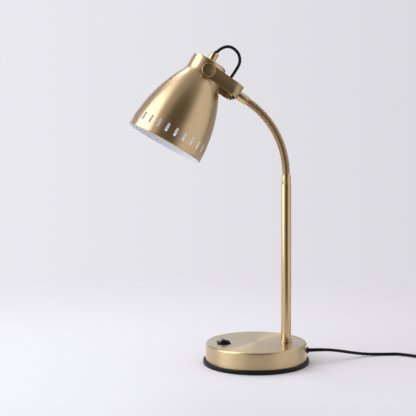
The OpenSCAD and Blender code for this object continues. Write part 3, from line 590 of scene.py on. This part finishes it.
# base: a turned shell with holes for the switch, the pole and the cord, on a rubber ring
baseSize = {
    "r": 80, "top": 32.4, "ledge": 5, "edge": 3, "wall": 1.2, "poleHole": 5.2, "cordHole": 3.8,
    "footOut": 83.9, "footH": 6.5, "gap": 0.4, "ledgeW": 8,
}
switchSize = {
    "fromMiddle": 52, "turn": 10, "hole": (9.7, 7.5), "bezel": (10.3, 8, 2), "bezelCorner": 1.4,
    "body": (9.6, 7.4), "cavity": (8.6, 6.4), "depth": 16, "floor": 2, "pivot": 3, "ridge": 3.9,
    "lean": 11, "rockerHalfW": 6.2, "rockerHalf": 7.5, "crestHalf": 0.6, "side": (1.8, -1),
    "keel": (3, -4), "pinR": 1.5, "pinHalf": 6.7,
}
b, w = baseSize, switchSize
switchFrame = turnZ(180 + w["turn"]) @ shift(w["fromMiddle"], 0, b["top"])
shellProfile = (
    [(b["r"] - b["wall"], b["ledge"]), (b["r"], b["ledge"])]
    + arcPoints(b["r"] - b["edge"], b["top"] - b["edge"], b["edge"], 0, 90, 10)
    + [(r, b["top"]) for r in (70, 60, 50, 40, 30, 20, 10, 4, 0)]
    + [(r, b["top"] - b["wall"]) for r in (0, 60)]
    + arcPoints(b["r"] - b["edge"], b["top"] - b["edge"], b["edge"] - b["wall"], 90, 0, 6)
)
baseShell = addObject("baseShell", lathe("baseShell", shellProfile, Matrix(), 180), baseBrass)
cutWith(baseShell,
        boxMesh("a", *w["hole"], -4, 4, switchFrame),
        rod("b", b["poleHole"], 20, 40, poleFrame),
        rod("c", b["cordHole"], 70, 90, shift(0, 0, cordSize["exitZ"]) @ turnY(90)))
seat(baseShell, "stand", "base_shell", "base_shell")

footEdge = (b["footOut"] - b["r"] - b["gap"]) * 0.45
footProfile = roundCorners([
    (b["r"] - b["ledgeW"], 0), (b["footOut"], 0), (b["footOut"], b["footH"]), (b["r"] + b["gap"], b["footH"]),
    (b["r"] + b["gap"], b["ledge"]), (b["r"] - b["ledgeW"], b["ledge"])
], [0, footEdge, footEdge, 0.6, 0, 0.5], 6)
footRing = addObject("footRing", lathe("footRing", footProfile, Matrix(), 180), footRubber)
seat(footRing, "stand", "foot_ring", "foot_ring")

# switch
bezelX, bezelY, bezelT = w["bezel"]
bezelOutline = roundCorners(oblong(-bezelX, -bezelY, bezelX, bezelY), [w["bezelCorner"]] * 4, 5)
housing = addObject("switchHousing", prism("switchHousing", bezelOutline, 0, bezelT, switchFrame, 0.45, 3),
                    blackPlastic)
cutWith(housing, boxMesh("a", *w["cavity"], -2, 4, switchFrame))
switchBody = addObject("switchBody", boxMesh("b", *w["body"], -w["depth"], 0.3, switchFrame), blackPlastic)
cutWith(switchBody, boxMesh("c", *w["cavity"], w["floor"] - w["depth"], 4, switchFrame))
seat(housing, "stand", "switch_housing", "switch_housing")
seat(switchBody, "stand", "switch_housing")

shoulder = w["pivot"] + 0.2
crest = shoulder + w["ridge"] - 0.1
half = w["rockerHalf"]
inset, sideZ = w["side"]
keelHalf, keelZ = w["keel"]
rockerOutline = roundCorners([
    (-half, shoulder), (-w["crestHalf"], crest), (w["crestHalf"], crest), (half, shoulder),
    (half - inset, sideZ), (keelHalf, keelZ), (-keelHalf, keelZ), (inset - half, sideZ)
], [0.5, 0.5, 0.5, 0.5, 0.3, 0, 0, 0.3], 3)
rockerFrame = switchFrame @ shift(0, 0, bezelT - w["pivot"]) @ turnY(w["lean"]) @ turnX(90)
rocker = addObject("rocker", joinMeshes(
    "rocker",
    prism("a", rockerOutline, -w["rockerHalfW"], w["rockerHalfW"], rockerFrame, 0.4, 3),
    rod("b", w["pinR"], -w["pinHalf"], w["pinHalf"], rockerFrame, 24),
), rockerPlastic)
seat(rocker, "rocker", "switch_rocker", "switch_rocker")

# pole and its collar
poleSize = {"r": 8, "wall": 1.2, "top": 282, "gap": 0.05, "collarR": 9.65, "collarH": 2.3}
p = poleSize
poleProfile = roundCorners(oblong(p["r"] - p["wall"], b["top"], p["r"], p["top"]), [0, 0, 0.35, 0.2], 3)
pole = addObject("pole", lathe("pole", poleProfile, poleFrame), poleBrass)
seat(pole, "stand", "pole", "pole")
collarProfile = roundCorners(oblong(p["r"] + p["gap"], b["top"], p["collarR"], b["top"] + p["collarH"]),
                             [0, 0.2, 0.8, 0.2], 5)
collar = addObject("poleCollar", lathe("poleCollar", collarProfile, poleFrame), poleBrass)
seat(collar, "stand", "pole_collar", "pole_collar")
print("base, switch and pole ready")

# neck: ribs along an arc, made by one node tree, on a sleeve painted dark as painted shade between the ribs
neckSize = {
    "outerR": 6.3, "ribH": 1.1, "ribW": 2.1, "ribEdge": 0.5, "links": 14, "perLink": 3,
    "linerR": 5.35, "linerIn": 5.15, "linerEnd": 0.33, "linerOver": 0.3,
    "tongueR": 5.0, "tongueIn": 4.6, "tongueEnd": 0.41, "bore": 3.6, "leadR": 2.4,
}
adapterSize = {"plugR": 6.75, "plugL": 10, "r": 7.65, "topR": 7.1}
ferruleSize = {"r": 7.4, "to": 21.6, "chamfer": 0.7}
n = neckSize
ringStep = arm["neckAngle"] / (n["links"] * n["perLink"] + 1)
ringPitch = math.radians(ringStep) * arm["bendR"]


def ringTree():
    group = bpy.data.node_groups.new("ringStack", "GeometryNodeTree")
    tree, links = group.nodes, group.links
    sockets = {}
    for label, kind in (
        ("First ring", "Int"), ("Rings", "Int"), ("Step", "Float"), ("Bend radius", "Float"),
        ("Ring radius", "Float"), ("Rib height", "Float"), ("Rib width", "Float"), ("Rib edge", "Float"),
        ("Finish", "Material"),
    ):
        socket = group.interface.new_socket(name=label, in_out="INPUT", socket_type="NodeSocket" + kind)
        sockets[label] = socket.identifier
    group.interface.new_socket(name="Geometry", in_out="OUTPUT", socket_type="NodeSocketGeometry")
    start = tree.new("NodeGroupInput")
    end = tree.new("NodeGroupOutput")

    def node(kind, **inputs):
        made = tree.new(kind)
        for label, value in inputs.items():
            links.new(value, made.inputs[label.replace("_", " ")])
        return made.outputs[0]

    def number(operation, *values):
        return calculate(tree, links, operation, *values)

    # each rib's place and turn on the arc
    ring = number("ADD", node("GeometryNodeInputIndex"), start.outputs["First ring"])
    angle = number("MULTIPLY", number("ADD", ring, 0.5), start.outputs["Step"])
    fall = number("SUBTRACT", 1.0, number("COSINE", angle))
    across = number("MULTIPLY", fall, start.outputs["Bend radius"])
    rise = number("MULTIPLY", number("SINE", angle), start.outputs["Bend radius"])
    points = node("GeometryNodePoints", Count=start.outputs["Rings"])
    placed = node("GeometryNodeSetPosition", Geometry=points,
                  Position=node("ShaderNodeCombineXYZ", X=across, Z=rise))
    # the rib: a circle swept with a low band that has round edges
    circle = node("GeometryNodeCurvePrimitiveCircle", Radius=start.outputs["Ring radius"])
    circle.node.inputs["Resolution"].default_value = 48
    band = node("GeometryNodeCurvePrimitiveQuadrilateral", Width=start.outputs["Rib height"],
                Height=start.outputs["Rib width"])
    section = node("GeometryNodeFilletCurve", Curve=band, Radius=start.outputs["Rib edge"])
    section.node.mode = "POLY"
    section.node.inputs["Count"].default_value = 4
    section.node.inputs["Limit Radius"].default_value = True
    rib = node("GeometryNodeCurveToMesh", Curve=circle, Profile_Curve=section)
    copies = node("GeometryNodeInstanceOnPoints", Points=placed, Instance=rib,
                  Rotation=node("ShaderNodeCombineXYZ", Y=angle))
    real = node("GeometryNodeRealizeInstances", Geometry=copies)
    links.new(node("GeometryNodeSetMaterial", Geometry=real, Material=start.outputs["Finish"]), end.inputs[0])
    return group, sockets


ringStack, ringSockets = ringTree()


def makeRings(name, first, count):
    holder = addObject(name, bpy.data.meshes.new(name))
    modifier = holder.modifiers.new("rings", "NODES")
    modifier.node_group = ringStack
    values = {
        "First ring": first, "Rings": count, "Step": math.radians(ringStep),
        "Bend radius": arm["bendR"] * mm, "Ring radius": (n["outerR"] - n["ribH"] / 2) * mm,
        "Rib height": n["ribH"] * mm, "Rib width": n["ribW"] * mm, "Rib edge": n["ribEdge"] * mm,
        "Finish": neckBrass,
    }
    for label, value in values.items():
        modifier[ringSockets[label]] = value
    applyModifiers(holder)
    mesh = holder.data
    bpy.data.objects.remove(holder)
    foot = armFrame @ Vector((0, 0, arm["neckZ"])) * mm
    mesh.transform(shift(*foot) @ armFrame.to_3x3().to_4x4())
    return mesh


def neckSpine(low, high, steps):
    # points on the neck's centre line between two ring positions
    return [onNeck((low + (high - low) * i / steps) * ringStep) @ Vector((0, 0, 0)) for i in range(steps + 1)]


def pipeAlong(name, path, outer, inner, sides=40):
    skins = [tube(name + "_skin", path, r, sides) for r in (outer, inner)]
    form = bmesh.new()
    for skin in skins:
        form.from_mesh(skin)
        bpy.data.meshes.remove(skin)
    caps = [face for face in form.faces if len(face.verts) == sides]
    edges = [edge for face in caps for edge in face.edges]
    bmesh.ops.delete(form, geom=caps, context="FACES_ONLY")
    half = len(edges) // 2
    for outside, inside in zip(edges[:half], edges[half:]):
        u, v = outside.verts
        x, y = inside.verts
        if (u.co - x.co).length + (v.co - y.co).length > (u.co - y.co).length + (v.co - x.co).length:
            x, y = y, x
        form.faces.new([u, v, y, x])
    return meshFrom(name, form, 1, 50)


def neckPiece(name, first, count, tongue=True):
    # ribs on a thin sleeve whose dark finish is painted shade between the ribs, and a narrower tongue that
    # reaches into the next piece
    rings = makeRings(name, first, count)
    rings.materials.clear()
    spine = neckSpine(first + 0.5 - n["linerEnd"], first + count - 0.5 + n["linerEnd"], 3 * count)
    parts = [rings, pipeAlong(name + "_sleeve", spine, n["linerR"], n["linerIn"])]
    if tongue:
        reach = neckSpine(first + count - n["tongueEnd"], first + count + n["tongueEnd"], 2)
        parts.append(pipeAlong(name + "_tongue", reach, n["tongueR"], n["tongueIn"]))
    form = bmesh.new()
    for index, part in enumerate(parts):
        before = len(form.faces)
        form.from_mesh(part)
        form.faces.ensure_lookup_table()
        for face in form.faces[before:]:
            face.material_index = min(index, 1)
        bpy.data.meshes.remove(part)
    # the sleeve and the tongue take the second finish, the painted groove shade
    return addObject(name, meshFrom(name, form, 1, 60), neckBrass, paintedGrooveShade)


def leadPiece(name, low, high, body):
    lead = addObject(name, tube(name, neckSpine(low, high, 4), n["leadR"], 20), cordRubber)
    seat(lead, body, "neck_lead", "neck_lead")


for i in range(n["links"]):
    first, last = i * n["perLink"] + 1, i == n["links"] - 1
    label = "%02d" % (i + 1)
    node = "neck_link_" + label
    body = "yoke" if last else "link_" + label
    seat(neckPiece("neckLink" + label, first, n["perLink"], not last), body, node, node)
    leadPiece("neckLead" + label, first, first + n["perLink"], body)
leadPiece("neckLeadFoot", 0, 1, "stand")

a = adapterSize
adapterProfile = roundCorners([
    (n["bore"], p["top"] - a["plugL"]), (a["plugR"], p["top"] - a["plugL"]), (a["plugR"], p["top"]),
    (a["r"], p["top"]), (a["topR"], arm["neckZ"]), (n["bore"], arm["neckZ"])
], [0, 0.3, 0, 0.25, 0.5, 0.2], 4)
adapterRings = neckPiece("adapterRing", 0, 1)
adapter = addObject("neckAdapter", lathe("neckAdapter", adapterProfile, poleFrame), poleBrass)
seat(adapter, "stand", "neck_adapter", "neck_adapter")
seat(adapterRings, "stand", "neck_adapter")

f = ferruleSize
ferruleProfile = roundCorners(oblong(n["bore"], ringPitch, f["r"], f["to"]), [0.3, f["chamfer"], 0.25, 0], 4)
ferrule = addObject("neckFerrule", lathe("neckFerrule", ferruleProfile, yokeFrame), poleBrass)
seat(ferrule, "yoke", "neck_ferrule", "neck_ferrule")
ribLow, ribHigh = (ringPitch - n["ribW"]) / 2, (ringPitch + n["ribW"]) / 2
ribProfile = roundCorners(oblong(n["outerR"] - n["ribH"], ribLow, n["outerR"], ribHigh),
                          [n["ribEdge"]] * 4, 4)
sleeveProfile = oblong(n["linerIn"], 0, n["linerR"], ringPitch + n["linerOver"])
ferruleRing = addObject("ferruleRing", joinMeshes(
    "ferruleRing",
    lathe("r", ribProfile, yokeFrame, 48),
    lathe("s", sleeveProfile, yokeFrame, 48),
), neckBrass)
seat(ferruleRing, "yoke", "neck_ferrule")
print("neck ready")

# yoke and the flat heads of its pivot screws
yokeSize = {"w": 20.8, "t": 1.75, "back": 21.6, "bend": 14, "armIn": 31.246, "edge": 0.35,
            "discR": 10.7, "discT": 3.2, "bevel": 1.1, "screwR": 2.5, "screwFrom": 19.5, "screwL": 14}
y = yokeSize
armOut = y["armIn"] + y["t"]


def strapMesh():
    # the strap as a strip that follows a wide U, with round ends at the pivot
    half, thin = y["w"] / 2, y["t"] / 2
    radius = y["bend"] - thin
    line, bendX = armOut - thin, armOut - y["bend"]
    bendAt = y["back"] + y["bend"]
    side = [(line, arm["reach"] - (arm["reach"] - bendAt) * i / 6, 1, 0) for i in range(7)]
    for i in range(1, 11):
        nx, nz = math.cos(math.radians(-9 * i)), math.sin(math.radians(-9 * i))
        side.append((bendX + radius * nx, bendAt + radius * nz, nx, nz))
    back = [(bendX * (1 - i / 4), y["back"] + thin, 0, -1) for i in range(1, 8)]
    centre = side + back + [(-x, z, -nx, nz) for x, z, nx, nz in reversed(side)]  # across, along, normal
    form = bmesh.new()
    layer = form.loops.layers.uv.new("UVMap")
    section = roundCorners(oblong(-half, -thin, half, thin), [y["edge"]] * 4, 2)
    rows, along = [], [0]
    for i, (x, z, nx, nz) in enumerate(centre):
        rows.append([form.verts.new(Vector((w, x + nx * t, z + nz * t))) for w, t in section])
        if i:
            along.append(along[-1] + math.dist(centre[i - 1][:2], centre[i][:2]))
    joinRings(form, layer, rows, lambda i, k: (along[i] * mm, section[k % len(section)][0] * mm))
    form.faces.new(list(reversed(rows[0])))
    form.faces.new(rows[-1])
    for x in (line, -line):
        disc = bmesh.ops.create_cone(form, cap_ends=True, segments=64, radius1=half, radius2=half,
                                     depth=y["t"], matrix=shift(0, x, arm["reach"]) @ turnX(90))
        rims = [e for e in form.edges if e.verts[0] in disc["verts"] and e.verts[1] in disc["verts"]
                and abs(e.verts[0].co.y - e.verts[1].co.y) < 1e-6]
        bmesh.ops.bevel(form, geom=rims, offset=y["edge"], segments=2, profile=0.5, affect="EDGES")
    bmesh.ops.transform(form, matrix=yokeFrame, verts=form.verts)
    return meshFrom("yoke", form, angle=30)


yoke = addObject("yoke", strapMesh(), yokeBrass)
seat(yoke, "yoke", "yoke", "yoke")

discProfile = roundCorners(oblong(0, 0, y["discR"], y["discT"]), [0, 0, y["bevel"], 0], 3)
sides = [headFrame @ shift(0, 0, arm["pivotS"]) @ turnZ(turn) for turn in (0, 180)]
discs = addObject("pivotDiscs", joinMeshes(
    "pivotDiscs",
    *[lathe("d", discProfile, side @ shift(0, armOut, 0) @ turnX(-90), 72) for side in sides],
    *[rod("s", y["screwR"], 0, y["screwL"], side @ shift(0, y["screwFrom"], 0) @ turnX(-90), 32)
      for side in sides],
), yokeBrass)
seat(discs, "head", "pivot_screws", "pivot_screws")
print("yoke ready")

# shade: bell, blend and cap in one profile, with a row of slots cut near the mouth
shadeSize = {
    "height": 145.2, "mouthR": 61.4, "bellS": 3.9, "capR": 28.4, "capL": 19.6, "blendR": 20, "wall": 1,
    "edge": 3, "slots": 26, "slotW": 4.2, "slotL": 13.4, "slotS": 19, "halfCell": 9.2, "columns": 12,
    "beadR": 0.9, "capHole": 5.1,
}
s = shadeSize
blendS = s["height"] - s["capL"]
bellR = (blendS - s["bellS"]) ** 2 + (s["capR"] + s["blendR"] - s["mouthR"]) ** 2 - s["blendR"] ** 2
bellR /= 2 * (s["mouthR"] - s["capR"])
bellC = s["mouthR"] - bellR
joinS = s["bellS"] + bellR / (bellR + s["blendR"]) * (blendS - s["bellS"])


def shadeR(height):
    if height <= joinS:
        return bellC + math.sqrt(bellR ** 2 - (height - s["bellS"]) ** 2)
    if height <= blendS:
        return s["capR"] + s["blendR"] - math.sqrt(s["blendR"] ** 2 - (blendS - height) ** 2)
    return s["capR"]


def shadeMesh():
    columns, halfCell = s["columns"], s["halfCell"]  # columns across one slot's cell
    total = columns * s["slots"]
    cellHigh = s["slotS"] + halfCell
    cellAngle = 2 * math.pi / s["slots"]
    startAngle = (math.pi - cellAngle) / 2
    refR = shadeR(s["slotS"])
    form = bmesh.new()
    layer = form.loops.layers.uv.new("UVMap")

    def vertex(angle, height, radius=None):
        r = shadeR(height) if radius is None else radius
        v = form.verts.new(Vector((r * math.cos(angle), r * math.sin(angle), height)))
        along = height if radius is None else s["height"] + s["capR"] - radius
        return v, (angle / (2 * math.pi), along * mm)

    def quad(*corners):
        addFace(form, layer, [v for v, uv in corners], [uv for v, uv in corners])

    def gridRows(places):
        angles = [startAngle + 2 * math.pi * k / total for k in range(total + 1)]
        rows = [[vertex(angle, *place) for angle in angles] for place in places]
        for low, high in zip(rows, rows[1:]):
            for k in range(total):
                quad(low[k], low[k + 1], high[k + 1], high[k])

    gridRows([((s["slotS"] - halfCell) * i / 4,) for i in range(5)])
    upper = [(cellHigh + (joinS - cellHigh) * i / 26,) for i in range(27)]
    upper += [(joinS + (blendS - joinS) * i / 8,) for i in range(1, 9)]
    upper += [(blendS + (s["height"] - s["edge"] - blendS) * i / 5,) for i in range(1, 6)]
    rim = arcPoints(s["capR"] - s["edge"], s["height"] - s["edge"], s["edge"], 10, 90, 8)
    upper += [(height, r) for r, height in rim]
    gridRows(upper + [(s["height"], r) for r in (21, 16, 11, s["capHole"])])

    half, straight = s["slotW"] / 2, (s["slotL"] - s["slotW"]) / 2
    halfWide = refR * cellAngle / 2
    top, left = [], []  # (cell's edge, slot's edge) over the slot and on its left
    for i in range(columns):
        t = i / columns
        a, down = math.pi * t, 1 - 2 * t
        top.append(((halfWide * down, halfCell), (half * math.cos(a), straight + half * math.sin(a))))
        left.append(((-halfWide, halfCell * down), (-half, straight * down)))
    around = top + left + [((-ox, -oy), (-ix, -iy)) for (ox, oy), (ix, iy) in top + left]
    for cell in range(s["slots"]):
        middle = startAngle + cellAngle * (cell + 0.5)
        rings = []
        for share in (0, 0.12, 0.35, 0.65, 1):
            rings.append([
                vertex(middle + (ix + (ox - ix) * share) / refR, s["slotS"] + iy + (oy - iy) * share)
                for (ox, oy), (ix, iy) in around])
        for low, high in zip(rings, rings[1:]):
            for k in range(-1, len(around) - 1):
                quad(low[k], low[k + 1], high[k + 1], high[k])
    bmesh.ops.remove_doubles(form, verts=form.verts, dist=0.004)
    bmesh.ops.recalc_face_normals(form, faces=form.faces)
    probe = max(form.faces, key=lambda face: face.calc_center_median().x)
    if probe.normal.x < 0:
        bmesh.ops.reverse_faces(form, faces=form.faces)
    bmesh.ops.transform(form, matrix=headFrame, verts=form.verts)
    mesh = bpy.data.meshes.new("shade")
    form.to_mesh(mesh)
    form.free()
    mesh.transform(Matrix.Scale(mm, 4))
    return mesh


shade = addObject("shade", shadeMesh(), brass, whiteEnamel)
wall = shade.modifiers.new("wall", "SOLIDIFY")
wall.thickness = s["wall"] * mm
wall.offset = -1
wall.material_offset = 1
wall.use_even_offset = True
applyModifiers(shade)
smooth(shade.data, 32)
seat(shade, "head", "shade", "shade")
beadProfile = arcPoints(s["mouthR"] - 0.1, s["beadR"], s["beadR"], 0, 330, 11)
bead = addObject("shadeBead", lathe("shadeBead", beadProfile, headFrame, 180), brass)
seat(bead, "head", "shade")

glandSize = {"r": 6.55, "topR": 6.35, "h": 16.5, "bore": 2.55, "chamfer": 0.5}
g = glandSize
glandProfile = roundCorners([(g["bore"], 0), (g["r"], 0), (g["topR"], g["h"]), (g["bore"], g["h"])],
                            [0, 0.1, g["chamfer"], 0.4], 3)
gland = addObject("capGland", lathe("capGland", glandProfile, headFrame @ shift(0, 0, s["height"]), 64),
                  poleBrass)
seat(gland, "head", "cap_gland", "cap_gland")
print("shade ready")

# floor: matte near the lamp, and clear further out, where the backdrop shows
floorSize = {"radius": 2.2, "colour": (0.80, 0.795, 0.82), "fadeFrom": 0.25, "fadeTo": 1.1}


def mixShaders(tree, links, share, first, second):
    mix = tree.new("ShaderNodeMixShader")
    for value, socket in zip((share, first.outputs[0], second.outputs[0]), mix.inputs):
        links.new(value, socket)
    return mix


def floorMaterial():
    material = bpy.data.materials.new("floor")
    material.use_nodes = True
    tree, links = material.node_tree.nodes, material.node_tree.links
    tree.clear()
    matte = tree.new("ShaderNodeBsdfDiffuse")
    matte.inputs["Color"].default_value = (*floorSize["colour"], 1)
    length = tree.new("ShaderNodeVectorMath")
    length.operation = "LENGTH"
    links.new(tree.new("ShaderNodeTexCoord").outputs["Object"], length.inputs[0])
    fade = mapRange(tree, links, length.outputs["Value"], 0, 1, floorSize["fadeFrom"], floorSize["fadeTo"],
                    "SMOOTHSTEP")
    mix = mixShaders(tree, links, fade, matte, tree.new("ShaderNodeBsdfTransparent"))
    links.new(mix.outputs[0], tree.new("ShaderNodeOutputMaterial").inputs["Surface"])
    return material


floorForm = bmesh.new()
bmesh.ops.create_circle(floorForm, cap_ends=True, radius=floorSize["radius"], segments=96)
floorMesh = bpy.data.meshes.new("floor")
floorForm.to_mesh(floorMesh)
floorForm.free()
floor = addObject("floor", floorMesh, floorMaterial())

# the camera sees a pale backdrop, painted lighter on the left and darker on the right as painted light
# falloff; polished parts mirror a pale room that is dim in places
studio = {
    "backdropLeft": (0.836, 0.826, 0.870), "backdropRight": (0.700, 0.690, 0.730),
    "turnLeft": -0.30, "turnRight": 0.24, "fill": (0.72, 0.70, 0.71),
    "pale": (0.88, 0.895, 0.935), "dimColour": (0.088, 0.063, 0.036),
    # turn from the front, height, where it begins, where it is full, and what stays of the pale
    "dim": [(14, 31, 45, 12, 0.0), (6, 54, 56, 14, 0.42), (5, 12, 38, 22, 0.05), (14, -16, 34, 18, 0.06),
            (25, 80, 44, 12, 0.52), (145, 0, 50, 12, 0.36), (-143, 38, 34, 14, 0.45)],
}
world = bpy.data.worlds.new("studio")
bpy.context.scene.world = world
world.use_nodes = True
tree, links = world.node_tree.nodes, world.node_tree.links
tree.clear()
way = tree.new("ShaderNodeTexCoord").outputs["Generated"]
split = tree.new("ShaderNodeSeparateXYZ")
links.new(way, split.inputs["Vector"])
# painted light falloff: the backdrop darkens from left to right
sideways = mapRange(tree, links, split.outputs["X"], 0, 1, studio["turnLeft"], studio["turnRight"])
seen = tree.new("ShaderNodeBackground")
links.new(colourRamp(tree, links, sideways, studio["backdropLeft"], studio["backdropRight"], 0.0, 1.0),
          seen.inputs["Color"])
fill = tree.new("ShaderNodeBackground")
fill.inputs["Color"].default_value = (*studio["fill"], 1)
level = None
for turn, height, begins, full, rest in studio["dim"]:
    facing = tree.new("ShaderNodeVectorMath")
    facing.operation = "DOT_PRODUCT"
    facing.inputs[1].default_value = turnZ(turn) @ turnX(-height) @ Vector((0, -1, 0))
    links.new(way, facing.inputs[0])
    share = mapRange(tree, links, facing.outputs["Value"], 1, rest, math.cos(math.radians(begins)),
                     math.cos(math.radians(full)), "SMOOTHSTEP")
    level = calculate(tree, links, "MINIMUM", level, share) if level else share
mirrored = tree.new("ShaderNodeBackground")
links.new(colourRamp(tree, links, level, studio["dimColour"], studio["pale"], 0.0, 1.0),
          mirrored.inputs["Color"])
rays = tree.new("ShaderNodeLightPath")
either = calculate(tree, links, "MAXIMUM", rays.outputs["Is Camera Ray"], rays.outputs["Is Transmission Ray"])
soft = mixShaders(tree, links, rays.outputs["Is Glossy Ray"], fill, mirrored)
links.new(mixShaders(tree, links, either, soft, seen).outputs[0],
          tree.new("ShaderNodeOutputWorld").inputs["Surface"])


def areaLight(name, place, target, size, power, colour=(1, 1, 1), roll=0, shape="RECTANGLE"):
    light = bpy.data.lights.new(name, "AREA")
    light.shape = shape
    light.size, light.size_y = size
    light.energy = power
    light.color = colour
    lamp = bpy.data.objects.new(name, light)
    bpy.context.scene.collection.objects.link(lamp)
    lamp.location = place
    facing = (Vector(target) - Vector(place)).to_track_quat("-Z", "Y")
    lamp.rotation_euler = (facing.to_matrix().to_4x4() @ turnZ(roll)).to_euler()


areaLight("keyLight", (-1.34, -0.35, 0.97), (-0.06, -0.02, 0.25), (1.42, 1.95), 15.5,
          (0.94, 1.0, 1.12), 8, "ELLIPSE")
areaLight("topLight", (-0.5, 0.9, 1.8), (0, 0, 0.1), (0.6, 0.6), 5)

print("scene ready")
